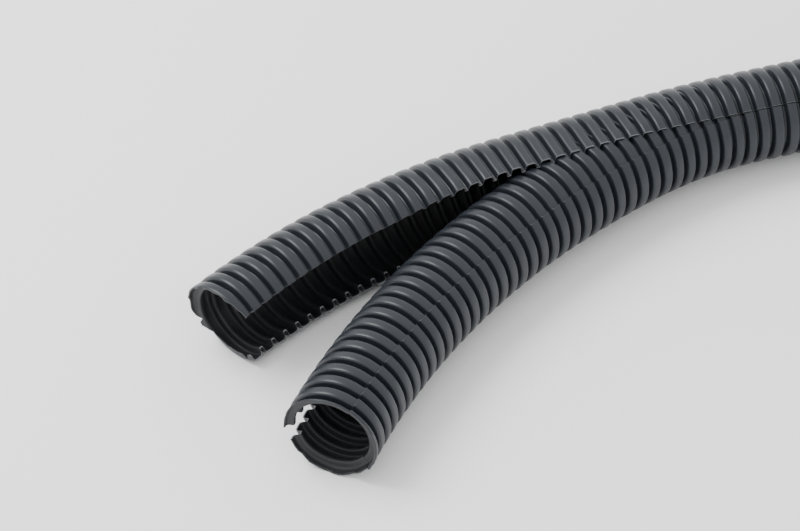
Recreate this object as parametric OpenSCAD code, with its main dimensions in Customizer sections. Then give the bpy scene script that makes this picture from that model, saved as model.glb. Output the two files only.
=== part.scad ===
// Divisible corrugated conduit: an outer and an inner shell, each slit along its length.
// The inner shell clips into the outer one rib in rib; at one end the two are peeled apart.
// Units are millimetres. +X runs along the clipped stock, the peeled end bends towards -X and
// -Y, and the stock lies on the floor, z = 0.

/* [Stock] */
// Length of the outer shell along its centreline
stock_length = 1000; // [400:4.8:2000]
// Diameter over the rib crests
outside_d = 28.5; // [24:0.5:36]
// Wall of the corrugation
wall = 0.5; // [0.4:0.05:0.7]
// Wall of the inner shell's raised band, which fills the slot out to the full diameter
band_wall = 0.85; // [0.85:0.05:1.2]
// Radial play between the clipped shells
clip_play = 0.2; // [0.15:0.05:0.3]

/* [Corrugation] */
// Spacing of the ribs
rib_pitch = 4.8; // [4.4:0.1:5.6]
// Height of a rib from valley to crest
rib_depth = 2.35; // [1.8:0.05:2.8]
// Width of a rib halfway up, outer shell and raised band
rib_w = 3.4; // [3.2:0.1:3.6]
// How far each flank leans in from foot to crest
flank_lean = 0.3; // [0.1:0.05:0.4]
// Rounding of the rib's shoulders, as a bevel
shoulder = 0.35; // [0.2:0.05:0.5]

/* [Slots] */
// Angle that the outer shell's wide slot is open
slot_angle = 98; // [80:1:110]
// Angle between each lip of the slot and the inner shell's raised band
seam_angle = 1.5; // [1:0.25:3]
// Angle that the inner shell's slit is open, opposite the band
slit_angle = 17; // [8:1:24]

/* [Peeled end] */
// Ribs of the outer shell that are peeled free
outer_free = 39; // [30:1:60]
// Ribs of the inner shell that are peeled free
inner_free = 41; // [30:1:60]
// Ribs in the first and the second arc of both shells
arc_ribs = [8, 9]; // [4:1:12]
// Degrees that the outer shell turns over its first, second and last arc
outer_turns = [6, 0, 27]; // [0:1:40]
// Degrees that the inner shell turns over its first, second and last arc
inner_turns = [18, 9, 27]; // [0:1:40]
// Twist of the inner shell over its last arc
inner_twist = 15; // [0:1:20]
// Roll of the outer shell over its last arc
outer_twist = -5; // [-10:1:10]

/* [Hidden] */
$fn = 72;
colour = [0.16, 0.18, 0.21];

crest_r = outside_d / 2;
nest_step = wall + clip_play;
straight_ribs = round(stock_length / rib_pitch) - outer_free;
run = straight_ribs * rib_pitch;
lip_angle = slot_angle / 2;
band_angle = lip_angle - seam_angle;

// A bent stretch is a row of straight ribs, each land short of the pitch, on neck rings
// that lie within the thickness of the wall and take up the turn between two ribs
land = 0.7;
rib_unit = rib_pitch - land;
neck_inset = 0.12;
neck_hold = 0.4;
// The necks stop this many degrees short of each lip, so that a twist never leaves one proud
neck_trim = 1;

// Arc length of one arm of the outer shell, from the top of the tube to its lip
arm_r = crest_r - rib_depth / 2;
arm = arm_r * (90 - lip_angle) * PI / 180;
// Sideways gap of the shells from which the arms spring back, and how fast they do
springs_back = 34;
spring_rate = 0.6;
// Ribs at which the outer shell's roll and the inner shell's twist begin
outer_rolls_from = 28;
inner_twists_from = 20;

// Ribs over which the clipped side of the inner shell flattens before the shells part,
// and the gap past which its ribs stand up again
flatten_ribs = 3;
stands_up = 19;
// The inner shell's clipped side comes down to the floor over these ribs
sag_ribs = 22;

// Ribs that are joined at a time, since one union of them all would be slow
block_ribs = 8;

// ---- route of each shell: joints between ribs, from the parting to the open end

arc_ends = [arc_ribs[0], arc_ribs[0] + arc_ribs[1]];

function heading(k, turns, free) = k <= 0 ? 0 : lookup(k, [
    [0, 0], [arc_ends[0], turns[0]], [arc_ends[1], turns[0] + turns[1]],
    [free, turns[0] + turns[1] + turns[2]]]);

function travel(h) = [-cos(h), -sin(h), 0];

function route(turns, free) = [for (k = 0, at = [0, 0, 0]; k <= free;
    at = at + rib_pitch * travel(heading(k, turns, free)), k = k + 1) at];

outer_route = route(outer_turns, outer_free);
inner_route = route(inner_turns, inner_free);

// Sideways gap between the two centrelines at each joint
gaps = [for (k = 0, gap = 0; k <= outer_free;
    gap = gap + rib_pitch * tan(heading(k, inner_turns, inner_free)
        - heading(k, outer_turns, outer_free)), k = k + 1) gap];

function outer_twist_at(k) = outer_twist * max(0, k - outer_rolls_from) / (outer_free - outer_rolls_from);
function inner_twist_at(k) = inner_twist * max(0, k - inner_twists_from) / (inner_free - inner_twists_from);
function spread_at(k) = k < 0 ? 0
    : max(0, min(gaps[min(k + 1, outer_free)], arm, spring_rate * (springs_back - gaps[k])));
function depth_at(k) = rib_depth * (k < 0 ? min(1, -k / (flatten_ribs + 1))
    : k >= outer_free ? 1 : max(0, min(1, (gaps[k] - stands_up) / (2 * rib_pitch))));
function sag_at(k) = nest_step * max(0, min(1, (k - arc_ends[1]) / sag_ribs));

// Where the shells part, seen from the middle of the whole piece on the floor
function ends_at(path, h) = path[len(path) - 1] - crest_r * [sin(h), cos(h), 0];
outer_end = ends_at(outer_route, heading(outer_free, outer_turns, outer_free));
inner_end = ends_at(inner_route, heading(inner_free, inner_turns, inner_free));
parting = -[run + min(outer_end.x, inner_end.x), crest_r + min(outer_end.y, inner_end.y), 0] / 2;

// ---- section of a rib, as [distance from the axis, place along it]

// Outside of the rib: foot, flank and bevelled shoulder on each side of the crest
function rib_outside(mid, crest, depth, w) = let (
        foot = (w + flank_lean) / 2, top = (w - flank_lean) / 2, bevel = min(shoulder, depth / 2)) [
    [crest - depth, mid - foot], [crest - bevel, mid - top], [crest, mid - top + bevel],
    [crest, mid + top - bevel], [crest - bevel, mid + top], [crest - depth, mid + foot]];

// Inside of the same rib, one wall in, from its far foot to its near one
function rib_inside(mid, crest, depth, w, t) = let (
        foot = (w + flank_lean) / 2 - t, top = (w - flank_lean) / 2 - t) [
    [crest - depth - t, mid + foot], [crest - t, mid + top],
    [crest - t, mid - top], [crest - depth - t, mid - foot]];

// Closed section of a number of ribs at the pitch, over the length given
function section(ribs, length, rib) = let (
        foot_r = rib[0] - rib[1], first = (length - (ribs - 1) * rib_pitch) / 2)
    concat([[foot_r, 0]],
        [for (k = [0 : ribs - 1]) each rib_outside(first + k * rib_pitch, rib[0], rib[1], rib[2])],
        [[foot_r, length], [foot_r - rib[3], length]],
        [for (k = [ribs - 1 : -1 : 0])
            each rib_inside(first + k * rib_pitch, rib[0], rib[1], rib[2], rib[3])],
        [[foot_r - rib[3], 0]]);

// The ribs, as [crest radius, depth, width, wall]
outer_rib = [crest_r, rib_depth, rib_w, wall];
band_rib = [crest_r, rib_depth, rib_w, band_wall];
function clipped_rib(depth) = [crest_r - nest_step - rib_depth + depth, depth, rib_w - 2 * nest_step + 0.2, wall];

module turned(from, to, points) {
    rotate_extrude(start = from, angle = to - from) polygon(points);
}

// ---- cross-sections of a shell. In these +X is the slot's side and +Y is up

// Part of a ring between two angles, under 180 degrees apart
module ring_part(from, to, inner_r, outer_r) {
    far = 2 * outer_r / cos((to - from) / 2);
    intersection() {
        difference() {
            circle(outer_r);
            circle(inner_r);
        }
        polygon([[0, 0], far * [cos(from), sin(from)], far * [cos((from + to) / 2), sin((from + to) / 2)],
            far * [cos(to), sin(to)]]);
    }
}

// The outer shell swept along +Z: its back turned, its arms straight, its lips turned again
module outer_section(points, spread) {
    rest = (arm - spread) / arm_r * 180 / PI;
    if (spread > 0) {
        turned(90, 270, points);
        for (side = [0, 1]) mirror([0, side, 0]) {
            rotate([90, 0, 90]) linear_extrude(spread) polygon(points);
            if (rest > 1) translate([spread, 0, 0]) turned(90 - rest, 90, points);
        }
    } else {
        turned(lip_angle, 360 - lip_angle, points);
    }
}

// The inner shell swept along +Z: the raised band, and the clipped side as far as the slit
module inner_section(ribs, length, depth) {
    turned(-band_angle, band_angle, section(ribs, length, band_rib));
    for (side = [0, 1]) mirror([0, side, 0])
        turned(band_angle, 180 - slit_angle / 2, section(ribs, length, clipped_rib(depth)));
}

module outer_neck(spread) {
    outer_r = crest_r - rib_depth - neck_inset;
    inner_r = crest_r - rib_depth - wall + neck_inset;
    rest = (arm - spread) / arm_r * 180 / PI;
    for (side = [0, 1]) mirror([0, side]) {
        ring_part(90, 135, inner_r, outer_r);
        ring_part(134, 180.1, inner_r, outer_r);
        translate([-0.01, inner_r]) square([spread + 0.02, outer_r - inner_r]);
        if (rest > 2) translate([spread, 0]) ring_part(90 - rest + neck_trim, 90, inner_r, outer_r);
    }
}

module inner_neck() {
    band_r = crest_r - rib_depth;
    clipped_r = band_r - nest_step;
    ring_part(neck_trim - band_angle, band_angle - neck_trim, band_r - band_wall + neck_inset,
        band_r - neck_inset);
    for (side = [0, 1]) mirror([0, side]) ring_part(band_angle + neck_trim,
        180 - slit_angle / 2 - neck_trim, clipped_r - wall + neck_inset, clipped_r - neck_inset);
}

// ---- placing along a route

// Turns what is built along +Z into the shell's frame: +Z to -X, +X to -Y, +Y up
module lie_down() {
    rotate([90, 0, -90]) children();
}

// Each block of ribs is built in the frame of its own first joint, so that its solids line up
// with the axes while they are joined
module seen_from(first, path, turns, free) {
    rotate(-heading(first, turns, free)) translate(-path[first]) children();
}

// A straight piece of the given length, middled on the rib in front of joint k + 1
module on_rib(k, path, turns, free, twist, drop, length) {
    translate((path[k] + path[k + 1]) / 2 - [0, 0, drop]) rotate(heading(k, turns, free))
        rotate([-twist, 0, 0]) lie_down() translate([0, 0, -length / 2]) children();
}

// A neck ring at joint k, turned halfway between its neighbours
module on_joint(k, path, turns, free, twist, drop) {
    length = land + 2 * neck_hold;
    translate(path[k] - [0, 0, drop]) rotate((heading(k - 1, turns, free) + heading(k, turns, free)) / 2)
        rotate([-twist, 0, 0]) lie_down() translate([0, 0, -length / 2]) linear_extrude(length) children();
}

// ---- the shells

// The peeled end of the outer shell from joint first on, in that joint's frame
module outer_end_from(first) {
    next = first + block_ribs;
    for (k = [first : min(next, outer_free) - 1]) seen_from(first, outer_route, outer_turns, outer_free) {
        on_rib(k, outer_route, outer_turns, outer_free, outer_twist_at(k), 0, rib_unit)
            outer_section(section(1, rib_unit, outer_rib), spread_at(k));
        on_joint(k, outer_route, outer_turns, outer_free, outer_twist_at(k - 0.5), 0)
            outer_neck(min(spread_at(k - 1), spread_at(k)));
    }
    if (next < outer_free) seen_from(first, outer_route, outer_turns, outer_free)
        translate(outer_route[next]) rotate(heading(next, outer_turns, outer_free)) outer_end_from(next);
}

module outer_conduit() {
    color(colour) translate(parting) translate([0, 0, crest_r]) {
        translate([run, 0, 0]) lie_down() outer_section(section(straight_ribs, run, outer_rib), 0);
        outer_end_from(0);
    }
}

// The peeled end of the inner shell from joint first on, in that joint's frame
module inner_end_from(first) {
    next = first + block_ribs;
    for (k = [first : min(next, inner_free) - 1]) seen_from(first, inner_route, inner_turns, inner_free) {
        on_rib(k, inner_route, inner_turns, inner_free, inner_twist_at(k), sag_at(k), rib_unit)
            inner_section(1, rib_unit, depth_at(k));
        on_joint(k, inner_route, inner_turns, inner_free, inner_twist_at(k - 0.5),
            (sag_at(k - 1) + sag_at(k)) / 2) inner_neck();
    }
    if (next < inner_free) seen_from(first, inner_route, inner_turns, inner_free)
        translate(inner_route[next]) rotate(heading(next, inner_turns, inner_free)) inner_end_from(next);
}

module inner_conduit() {
    blocks = floor((straight_ribs - flatten_ribs) / block_ribs);
    rest = straight_ribs - flatten_ribs - blocks * block_ribs;
    color(colour) translate(parting) translate([0, 0, crest_r]) {
        for (k = [0 : blocks - 1]) translate([run - k * block_ribs * rib_pitch, 0, 0]) lie_down()
            inner_section(block_ribs, block_ribs * rib_pitch, rib_depth);
        for (k = [flatten_ribs + rest : -1 : 1]) translate([k * rib_pitch, 0, 0]) lie_down()
            inner_section(1, rib_pitch, depth_at(-k));
        inner_end_from(0);
    }
}

outer_conduit();
inner_conduit();
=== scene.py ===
import bpy, math
from mathutils import Matrix, Quaternion, Vector


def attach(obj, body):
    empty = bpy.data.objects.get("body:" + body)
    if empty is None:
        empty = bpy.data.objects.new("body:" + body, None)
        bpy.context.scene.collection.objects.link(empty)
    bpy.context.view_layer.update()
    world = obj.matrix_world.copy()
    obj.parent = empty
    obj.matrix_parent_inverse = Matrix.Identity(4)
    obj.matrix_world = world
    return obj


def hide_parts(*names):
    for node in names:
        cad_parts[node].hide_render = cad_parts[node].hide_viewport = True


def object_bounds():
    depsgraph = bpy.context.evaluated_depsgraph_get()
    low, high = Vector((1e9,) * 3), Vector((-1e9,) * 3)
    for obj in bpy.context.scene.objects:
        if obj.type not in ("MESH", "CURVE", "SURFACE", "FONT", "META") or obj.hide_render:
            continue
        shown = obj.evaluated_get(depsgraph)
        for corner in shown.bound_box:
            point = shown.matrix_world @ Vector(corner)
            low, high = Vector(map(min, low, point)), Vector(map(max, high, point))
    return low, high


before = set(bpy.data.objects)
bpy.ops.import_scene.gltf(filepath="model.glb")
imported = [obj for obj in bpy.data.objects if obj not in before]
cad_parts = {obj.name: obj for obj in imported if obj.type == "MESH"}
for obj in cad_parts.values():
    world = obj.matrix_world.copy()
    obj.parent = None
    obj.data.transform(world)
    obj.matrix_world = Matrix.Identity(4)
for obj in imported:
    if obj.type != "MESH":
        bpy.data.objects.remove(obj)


def writeSize():
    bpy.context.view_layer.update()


writeSize()
print("frame loaded")

# metres and degrees; ribs are numbered from the parting, and below zero where the shells are clipped
stock = {
    "outsideD": 0.0285, "wall": 0.0005, "bandWall": 0.00085, "play": 0.0002,
    "pitch": 0.0048, "ribDepth": 0.00235, "ribs": 208,
    "slotAngle": 98.0, "seamAngle": 1.5, "slitAngle": 17.0,
}
peel = {
    "arcRibs": (8, 9),  # ribs in the first two arcs of each shell, the third takes the rest
    "springsBack": 0.034,  # gap between the shells at which the outer one has closed again
    "springRate": 0.6,
    "sagRibs": 22,  # ribs past the arcs over which the inner shell comes down to the floor
}
outerShell = {
    "freeRibs": 39, "turns": (6.0, 0.0, 27.0), "twist": -5.0, "twistFrom": 28,
    "end": {"Cut back": 0.15, "End slant": 0.9, "Slant side": 1.83, "End ragged": 0.5, "Seed": 3.0},
}
innerShell = {
    "freeRibs": 41, "turns": (18.0, 9.0, 27.0), "twist": 15.0, "twistFrom": 20,
    "end": {"Cut back": 1.3, "End slant": 0.3, "Slant side": -1.2, "End ragged": 0.6, "Seed": 7.0,
            "Upper lip flare": 0.0007, "Lower lip flare": -0.0014,
            "Flare from rib": 31.0, "Flare ribs": 10.0},
}
detail = {
    "nearRibs": 13,  # clipped ribs that are made as fine as the peeled ones
    "fineColumns": 56, "plainColumns": 36,  # points along each face of the wall's section
    "edgeShare": 0.003,  # width of the narrow columns beside an edge, as a share of the span
    "stepsPerRib": 4,  # points of a route for each rib
}
fullTurn = 2 * math.pi
crestR = stock["outsideD"] / 2
nestStep = stock["wall"] + stock["play"]  # how far the clipped side lies within the outer shell
lipAngle = math.radians(stock["slotAngle"] / 2)
bandAngle = lipAngle - math.radians(stock["seamAngle"])
slitHalf = math.radians(stock["slitAngle"] / 2)
armR = crestR - stock["ribDepth"] / 2
armLength = armR * (math.pi / 2 - lipAngle)  # wall from top or bottom to a lip, straight where the slot opens
clippedRibs = stock["ribs"] - outerShell["freeRibs"]


def heading(k, shell):  # degrees turned away from the straight stock at rib k
    first, second = peel["arcRibs"]
    turned, start = 0.0, 0
    for turn, ribs in zip(shell["turns"], (first, second, shell["freeRibs"] - first - second)):
        turned += turn * min(1.0, max(0.0, (k - start) / ribs))
        start += ribs
    return turned


def route(shell):  # centreline from the parting to the open end, as pairs of rib and point
    at, points = Vector((0, 0, 0)), []
    step = stock["pitch"] / detail["stepsPerRib"]
    for i in range(shell["freeRibs"] * detail["stepsPerRib"] + 1):
        k = i / detail["stepsPerRib"]
        turned = math.radians(heading(k, shell))
        points.append((k, at.copy()))
        at = at + step * Vector((-math.cos(turned), -math.sin(turned), 0))
    return points


def gapAt(k):  # distance between the two centrelines
    gap, step = 0.0, 1 / detail["stepsPerRib"]
    for i in range(int(k * detail["stepsPerRib"])):
        between = heading(i * step, innerShell) - heading(i * step, outerShell)
        gap += stock["pitch"] * step * math.tan(math.radians(between))
    return gap


def spreadAt(k):  # length of each arm of the opened outer shell
    gap = gapAt(min(k + 0.5, outerShell["freeRibs"]))
    return max(0.0, min(gap, armLength, peel["springRate"] * (peel["springsBack"] - gap)))


def eased(x):
    x = min(1.0, max(0.0, x))
    return x * x * (3 - 2 * x)


class Field:  # a node's output, on which sums are written as sums
    def __init__(self, tree, socket):
        self.tree, self.socket = tree, socket

    def calc(self, operation, *others, clamp=False):
        node = self.tree.nodes.new("ShaderNodeMath")
        node.operation, node.use_clamp = operation, clamp
        for socket, value in zip(node.inputs, (self, *others)):
            plug(self.tree, socket, value)
        return Field(self.tree, node.outputs[0])

    def __add__(self, other):
        return self.calc("ADD", other)

    def __radd__(self, other):
        return self.calc("ADD", other)

    def __sub__(self, other):
        return self.calc("SUBTRACT", other)

    def __rsub__(self, other):
        return (self * -1.0).calc("ADD", other)

    def __mul__(self, other):
        return self.calc("MULTIPLY", other)

    def __rmul__(self, other):
        return self.calc("MULTIPLY", other)

    def __truediv__(self, other):
        return self.calc("DIVIDE", other)

    def sin(self):
        return self.calc("SINE")

    def cos(self):
        return self.calc("COSINE")

    def floor(self):
        return self.calc("FLOOR")

    def abs(self):
        return self.calc("ABSOLUTE")

    def sign(self):
        return self.calc("SIGN")

    def min(self, other):
        return self.calc("MINIMUM", other)

    def max(self, other):
        return self.calc("MAXIMUM", other)

    def over(self, other):
        return self.calc("GREATER_THAN", other)

    def under(self, other):
        return self.calc("LESS_THAN", other)

    def ramp(self, low, high):
        return ((self - low) / (high - low)).calc("ADD", 0.0, clamp=True)

    def profile(self, points):  # looked up on straight lines between the points, from 0 to 1
        node = self.tree.nodes.new("ShaderNodeFloatCurve")
        curve = node.mapping.curves[0]
        while len(curve.points) < len(points):
            curve.points.new(0.5, 0.5)
        for point, place in zip(curve.points, points):
            point.location = place
            point.handle_type = "VECTOR"
        node.mapping.update()
        plug(self.tree, node.inputs["Value"], self)
        return Field(self.tree, node.outputs[0])


def plug(tree, socket, value):
    if isinstance(value, Field):
        tree.links.new(value.socket, socket)
    else:
        socket.default_value = value


def add(tree, kind, out=0, settings=None, **values):  # values by socket name, with _ for a space
    node = tree.nodes.new(kind)
    for key, setting in (settings or {}).items():
        setattr(node, key, setting)
    for key, value in values.items():
        name = key.replace("_", " ")
        plug(tree, next(s for s in node.inputs if s.name == name and s.enabled), value)
    outs = [s for s in node.outputs if s.enabled]
    return Field(tree, outs[out] if isinstance(out, int) else next(s for s in outs if s.name == out))


def combine(tree, x, y, z):
    return add(tree, "ShaderNodeCombineXYZ", X=x, Y=y, Z=z)


def separate(tree, vector):
    node = tree.nodes.new("ShaderNodeSeparateXYZ")
    plug(tree, node.inputs[0], vector)
    return [Field(tree, s) for s in node.outputs]


# one rib's outline from valley to valley, as (share of the pitch, share of the rib depth)
halfOutline = ((0, 0), (.09, 0), (.118, .05), (.142, .3), (.16, .62), (.185, .85), (.25, .965), (.36, .995))
ribOutline = halfOutline + ((.5, 1),) + tuple((round(1 - x, 3), y) for x, y in reversed(halfOutline))
fineRows = tuple(share for share, _ in ribOutline[:-1])
plainRows = (0, .12, .17, .3, .7, .83, .88)

treeInputs = (
    ("Geometry", "NodeSocketGeometry", None),  # the route
    ("Section", "NodeSocketObject", None),
    ("Rows", "NodeSocketObject", None),
    ("Rows per rib", "NodeSocketInt", 16),
    ("Ribs", "NodeSocketInt", 40),
    ("First rib", "NodeSocketFloat", 0.0),
    ("Pitch", "NodeSocketFloat", stock["pitch"]),
    ("Crest radius", "NodeSocketFloat", crestR),
    ("Rib depth", "NodeSocketFloat", stock["ribDepth"]),
    ("Cut back", "NodeSocketFloat", 0.0),  # in ribs, as are slant, ragged and flare ribs
    ("End slant", "NodeSocketFloat", 0.0),
    ("Slant side", "NodeSocketFloat", 0.0),
    ("End ragged", "NodeSocketFloat", 0.0),
    ("Seed", "NodeSocketFloat", 1.0),
    ("Upper lip flare", "NodeSocketFloat", 0.0),
    ("Lower lip flare", "NodeSocketFloat", 0.0),
    ("Flare from rib", "NodeSocketFloat", 34.0),
    ("Flare ribs", "NodeSocketFloat", 7.0),
    ("Material", "NodeSocketMaterial", None),
)


def shellTree(name):  # a sheet of rows and columns becomes a closed wall, rib by rib along a route
    t = bpy.data.node_groups.new(name, "GeometryNodeTree")
    for title, kind, default in treeInputs:
        socket = t.interface.new_socket(name=title, in_out="INPUT", socket_type=kind)
        if default is not None:
            socket.default_value = default
    t.interface.new_socket(name="Geometry", in_out="OUTPUT", socket_type="NodeSocketGeometry")
    given = {s.name: Field(t, s) for s in t.nodes.new("NodeGroupInput").outputs if s.name}

    section = add(t, "GeometryNodeObjectInfo", out="Geometry", Object=given["Section"])
    phases = add(t, "GeometryNodeObjectInfo", out="Geometry", Object=given["Rows"])
    columns = add(t, "GeometryNodeAttributeDomainSize", Geometry=section)
    rowCount = given["Ribs"] * given["Rows per rib"] + 3
    sheet = add(t, "GeometryNodeMeshGrid", Vertices_X=rowCount, Vertices_Y=columns + 1)

    index = add(t, "GeometryNodeInputIndex")
    row = ((index + 0.5) / (columns + 1)).floor()
    column = index - row * (columns + 1)
    column = column - columns * column.over(columns - 0.5)  # the last column is the first again
    inner = (row - 1).max(0).min(rowCount - 3)  # both closing rows left out
    rib = ((inner + 0.5) / given["Rows per rib"]).floor()

    def sampled(geometry, i):
        return separate(t, add(t, "GeometryNodeSampleIndex",
                               settings={"data_type": "FLOAT_VECTOR", "domain": "POINT"}, Geometry=geometry,
                               Value=add(t, "GeometryNodeInputPosition"), Index=i + 0.01))

    phase = sampled(phases, inner - rib * given["Rows per rib"])[0]
    facing = columns - 1 - column  # the column on the other face of the wall
    turn0, r0, edge0 = sampled(section, column)
    turn1, r1, _ = sampled(section, facing)
    closing = (row.under(0.5) + row.over(rowCount - 1.5)).min(1)  # closing rows lie mid-wall
    turn = turn0 + (turn1 - turn0) * 0.5 * closing
    flat = r0 + (r1 - r0) * 0.5 * closing

    # rows past the cut are drawn back on to it, so that it runs slanting and ragged over the ribs
    across = (column.min(facing) + 0.25) * 0.37
    jag = add(t, "ShaderNodeTexNoise", settings={"noise_dimensions": "2D"}, Scale=1.0, Detail=2.0,
              Vector=combine(t, across, given["Seed"], 0.0))
    slant = given["End slant"] * ((turn0 - given["Slant side"]).cos() - 1) * 0.5
    cut = given["Ribs"] - given["Cut back"] + slant + (jag - 0.6).min(0) * given["End ragged"]
    k = (rib + phase).min(cut) + given["First rib"]

    wave = (k - k.floor()).profile(ribOutline)
    scale = 1 - given["Rib depth"] / given["Crest radius"] * (1 - wave)
    opening = ((k - given["Flare from rib"]) / given["Flare ribs"]).max(0).min(1)
    opening = opening * turn.abs().ramp(1.9, math.pi)
    upper = turn.over(0)
    flare = given["Upper lip flare"] * upper + given["Lower lip flare"] * (1 - upper)
    r = flat * scale + opening * opening * flare

    # spread, twist, sag and heading are kept on the points of the route
    line = add(t, "GeometryNodeMeshToCurve", Mesh=given["Geometry"])
    distance = k.max(0) * given["Pitch"]

    def onRoute(kept, out="Value"):
        named = add(t, "GeometryNodeInputNamedAttribute", settings={"data_type": "FLOAT"}, Name=kept)
        return add(t, "GeometryNodeSampleCurve", out=out, Curves=line, Value=named, Length=distance,
                   settings={"mode": "LENGTH", "use_all_curves": False, "data_type": "FLOAT"})

    px, py, pz = separate(t, onRoute("spread", out="Position"))
    spread, twist, sag, turned = (onRoute(kept) for kept in ("spread", "twist", "sag", "heading"))

    past = (math.pi / 2 - turn.abs()).max(0)  # how far round from the top towards the slot
    arm = (past * armR).min(spread)
    angle = turn.abs().max(math.pi / 2) - (past - spread / armR).max(0)
    sideways = arm + r * angle.cos()
    up = turn.sign() * r * angle.sin()
    rolled = sideways * twist.cos() - up * twist.sin()
    raised = sideways * twist.sin() + up * twist.cos()
    back = (0 - k).max(0) * given["Pitch"]
    place = combine(t, px + rolled * turned.sin() + back, py - rolled * turned.cos(),
                    pz + raised - sag + given["Crest radius"])

    wall = add(t, "GeometryNodeSetPosition", Geometry=sheet, Position=place)
    kept = {
        # the lips are marked in full and the end faces faintly, for the painted highlight of the cut edges in
        # the material
        "cutEdge": closing * 0.55 + edge0 * (1 - closing),
        "inside": (column + 0.5).over(columns * 0.5),
    }
    for title, value in kept.items():
        wall = add(t, "GeometryNodeStoreNamedAttribute", settings={"data_type": "FLOAT", "domain": "POINT"},
                   Geometry=wall, Name=title, Value=value)
    wall = add(t, "GeometryNodeMergeByDistance", Geometry=wall, Distance=2e-6)
    wall = add(t, "GeometryNodeFlipFaces", Mesh=wall)  # outwards
    wall = add(t, "GeometryNodeSetShadeSmooth", Geometry=wall, Shade_Smooth=True)
    wall = add(t, "GeometryNodeRealizeInstances", Geometry=wall)
    wall = add(t, "GeometryNodeSetMaterial", Geometry=wall, Material=given["Material"])
    t.links.new(wall.socket, t.nodes.new("NodeGroupOutput").inputs["Geometry"])
    return t


def pointObject(name, points, edges=(), values=None):
    mesh = bpy.data.meshes.new(name)
    mesh.from_pydata(points, edges, [])
    for key, numbers in (values or {}).items():
        mesh.attributes.new(key, "FLOAT", "POINT").data.foreach_set("value", numbers)
    thing = bpy.data.objects.new(name, mesh)
    bpy.context.scene.collection.objects.link(thing)
    return thing


def sectionObject(name, spans):  # points of (angle, crest radius, cut edge mark for the painted highlight): along the outside, back inside
    outside, inside = [], []
    for first, last, count, crest, wall in spans:
        for i in range(count):
            share = {1: detail["edgeShare"], count - 2: 1 - detail["edgeShare"]}.get(i, i / (count - 1))
            angle = first + (last - first) * share
            if angle > math.pi:
                angle -= fullTurn  # both lips mirror each other
            outside.append((angle, crest, 0.0))
            inside.append((angle, crest - wall, 0.0))
    for face in (outside, inside):
        for lip in (0, -1):
            face[lip] = (*face[lip][:2], 1.0)
    return pointObject(name, outside + inside[::-1])


def outerSpans(columns):
    return [(lipAngle, fullTurn - lipAngle, columns, crestR, stock["wall"])]


def innerSpans(columns):  # clipped side, raised band, clipped side
    clipped = crestR - nestStep
    sideTurn, bandTurn = math.pi - slitHalf - bandAngle, 2 * bandAngle
    perTurn = columns / (2 * sideTurn + bandTurn)
    side, band = round(perTurn * sideTurn), round(perTurn * bandTurn)
    step = 0.003  # the step up to the band leans by this angle
    return [(-math.pi + slitHalf, -bandAngle, side, clipped, stock["wall"]),
            (-bandAngle + step, bandAngle - step, band, crestR, stock["bandWall"]),
            (bandAngle, math.pi - slitHalf, side, clipped, stock["wall"])]


def routeObject(name, shell, opens, sags):
    points = route(shell)
    kept = {"spread": [], "twist": [], "sag": [], "heading": []}
    for k, _ in points:
        twisted = max(0.0, k - shell["twistFrom"]) / (shell["freeRibs"] - shell["twistFrom"])
        kept["spread"].append(spreadAt(k) if opens else 0.0)
        kept["twist"].append(math.radians(shell["twist"]) * twisted)
        kept["sag"].append(nestStep * eased((k - sum(peel["arcRibs"])) / peel["sagRibs"]) if sags else 0.0)
        kept["heading"].append(math.radians(heading(k, shell)))
    edges = [(i, i + 1) for i in range(len(points) - 1)]
    return pointObject(name, [point for _, point in points], edges, kept)


def madeMesh(name, base, tree, inputs):
    holder = bpy.data.objects.new(name + "Holder", base.data)
    bpy.context.scene.collection.objects.link(holder)
    modifier = holder.modifiers.new("tree", "NODES")
    modifier.node_group = tree
    for item in tree.interface.items_tree:
        if item.in_out == "INPUT" and item.name in inputs:
            modifier[item.identifier] = inputs[item.name]
    bpy.context.view_layer.update()
    evaluated = holder.evaluated_get(bpy.context.evaluated_depsgraph_get())
    mesh = bpy.data.meshes.new_from_object(evaluated)
    bpy.data.objects.remove(holder)
    return mesh


plastic = {
    # painted shade: the inside colour is a warmer, slightly darker copy of the plastic, standing in for the
    # shaded inside of the tube
    "colour": (0.0165, 0.0195, 0.0245, 1), "inside": (0.0165, 0.018, 0.0205, 1),
    # painted highlight: the pale cut colour stands in for the light that the cut edges catch
    "cut": (0.17, 0.175, 0.185, 1),
    "roughness": 0.33, "insideRoughness": 0.5, "unevenness": 0.1, "specular": 0.34,
    "grain": 0.04, "grainDepth": 0.0002, "grainScale": 1400.0, "patchScale": 60.0,
}


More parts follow.
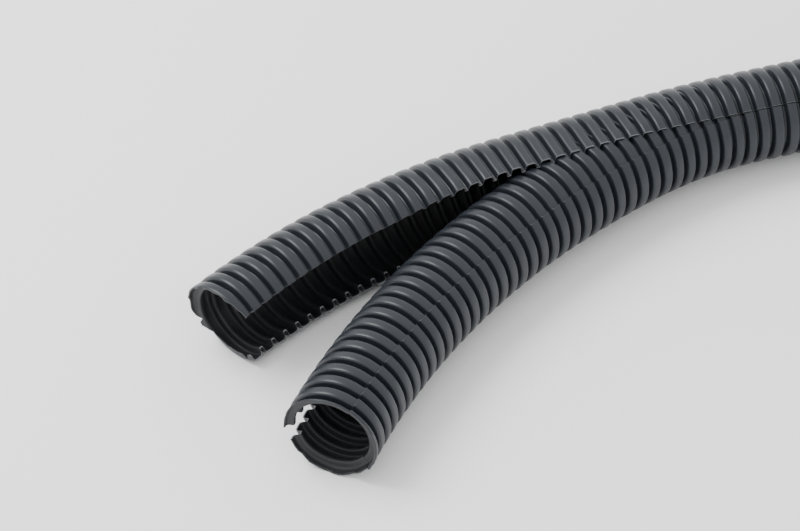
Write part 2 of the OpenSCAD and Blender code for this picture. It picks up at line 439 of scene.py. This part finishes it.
def plasticMaterial():  # satin outside, duller inside; painted shade in a warmer inside colour, and a painted highlight in a paler colour along the cut edges
    material = bpy.data.materials.new("conduitPlastic")
    material.use_nodes = True
    t = material.node_tree
    t.nodes.clear()
    place = add(t, "ShaderNodeTexCoord", out="Object")
    cut = add(t, "ShaderNodeAttribute", out="Fac", settings={"attribute_name": "cutEdge"})
    inside = add(t, "ShaderNodeAttribute", out="Fac", settings={"attribute_name": "inside"})
    patches = add(t, "ShaderNodeTexNoise", Vector=place, Scale=plastic["patchScale"], Detail=3.0)
    grain = add(t, "ShaderNodeTexNoise", Vector=place, Scale=plastic["grainScale"], Detail=2.0)
    # painted shade: the inside faces get the warmer inside colour
    colour = add(t, "ShaderNodeMix", out="Result", settings={"data_type": "RGBA"}, Factor=inside,
                 A=plastic["colour"], B=plastic["inside"])
    # painted highlight: the cut edges get the paler cut colour
    colour = add(t, "ShaderNodeMix", out="Result", settings={"data_type": "RGBA"},
                 Factor=(cut - 0.5).calc("MULTIPLY", 2.0, clamp=True), A=colour, B=plastic["cut"])
    roughness = (plastic["roughness"] + (patches - 0.5) * plastic["unevenness"]
                 + inside * (plastic["insideRoughness"] - plastic["roughness"]))
    bump = add(t, "ShaderNodeBump", Strength=plastic["grain"], Distance=plastic["grainDepth"], Height=grain)
    shader = add(t, "ShaderNodeBsdfPrincipled", Base_Color=colour, Roughness=roughness,
                 Specular_IOR_Level=plastic["specular"], Normal=bump)
    t.links.new(shader.socket, t.nodes.new("ShaderNodeOutputMaterial").inputs["Surface"])
    return material


def makeShell(label, node, shell, spans, opens=False, sags=False):
    path = routeObject(label + "Route", shell, opens, sags)
    tree = shellTree(label + "Tree")
    near = detail["nearRibs"]
    parts = (
        ("Near", detail["fineColumns"], fineRows, -near, shell["freeRibs"] + near, shell["end"]),
        ("Far", detail["plainColumns"], plainRows, -clippedRibs, clippedRibs - near, {}),
    )
    for part, columns, rows, firstRib, ribs, end in parts:
        section = sectionObject(label + part + "Section", spans(columns))
        phases = pointObject(label + part + "Rows", [(x, 0, 0) for x in rows])
        mesh = madeMesh(label + part, path, tree, {
            "Section": section, "Ribs": ribs, "First rib": float(firstRib), "Rows": phases,
            "Rows per rib": len(rows), "Material": conduitPlastic, **end})
        mesh.transform(partingPlace)
        thing = bpy.data.objects.new(label + part, mesh)
        bpy.context.scene.collection.objects.link(thing)
        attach(thing, "root")
        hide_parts(node)
        for helper in (section, phases):
            bpy.data.objects.remove(helper)
        print(thing.name, "made:", len(mesh.polygons), "faces")
    bpy.data.objects.remove(path)


low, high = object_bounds()
partingPlace = Matrix.Translation((high[0] - clippedRibs * stock["pitch"], high[1] - crestR, 0))
conduitPlastic = plasticMaterial()
makeShell("outer", "outer_conduit", outerShell, outerSpans, opens=True)
makeShell("inner", "inner_conduit", innerShell, innerSpans, sags=True)

floorValues = {"half": 8.0, "drop": 0.0002, "colour": (0.93, 0.93, 0.93, 1), "roughness": 0.9}
lightValues = {
    "sky": 1.5, "keyFrom": (-0.85, 0.35, 0.75), "keyTo": (-0.45, 0, 0), "keySize": 0.6, "keyPower": 9,
}
view = {"eye": (-0.5726, -0.5302, 0.5453), "target": (-0.431, 0.0278, 0.0), "lens": 119.13, "roll": -0.0434}


def lookAt(thing, eye, target, roll=0.0):
    thing.location = eye
    aim = (Vector(target) - Vector(eye)).to_track_quat("-Z", "Y")
    thing.rotation_euler = (aim @ Quaternion((0, 0, 1), roll)).to_euler()


def makeFloor():
    mesh = bpy.data.meshes.new("floor")
    half = floorValues["half"]
    corners = [(-half, -half, 0), (half, -half, 0), (half, half, 0), (-half, half, 0)]
    mesh.from_pydata(corners, [], [(0, 1, 2, 3)])
    floor = bpy.data.objects.new("floor", mesh)
    bpy.context.scene.collection.objects.link(floor)
    paper = bpy.data.materials.new("floorWhite")
    paper.use_nodes = True
    shader = paper.node_tree.nodes["Principled BSDF"]
    shader.inputs["Base Color"].default_value = floorValues["colour"]
    shader.inputs["Roughness"].default_value = floorValues["roughness"]
    mesh.materials.append(paper)
    floor.location.z = -floorValues["drop"]


def makeLight():
    world = bpy.data.worlds.new("studio")
    bpy.context.scene.world = world
    world.use_nodes = True
    sky = world.node_tree.nodes["Background"].inputs
    sky["Color"].default_value = (1, 1, 1, 1)
    sky["Strength"].default_value = lightValues["sky"]
    light = bpy.data.lights.new("key", "AREA")
    light.shape, light.size, light.energy = "DISK", lightValues["keySize"], lightValues["keyPower"]
    key = bpy.data.objects.new("key", light)
    bpy.context.scene.collection.objects.link(key)
    lookAt(key, lightValues["keyFrom"], lightValues["keyTo"])


def placeCamera():
    camera = bpy.data.objects.new("camera", bpy.data.cameras.new("camera"))
    bpy.context.scene.collection.objects.link(camera)
    camera.data.sensor_width = 36.0
    camera.data.lens = view["lens"]
    camera.data.clip_start, camera.data.clip_end = 0.01, 50
    lookAt(camera, view["eye"], view["target"], view["roll"])
    bpy.context.scene.camera = camera


makeFloor()
makeLight()
placeCamera()
print("floor, light and camera placed")

writeSize()
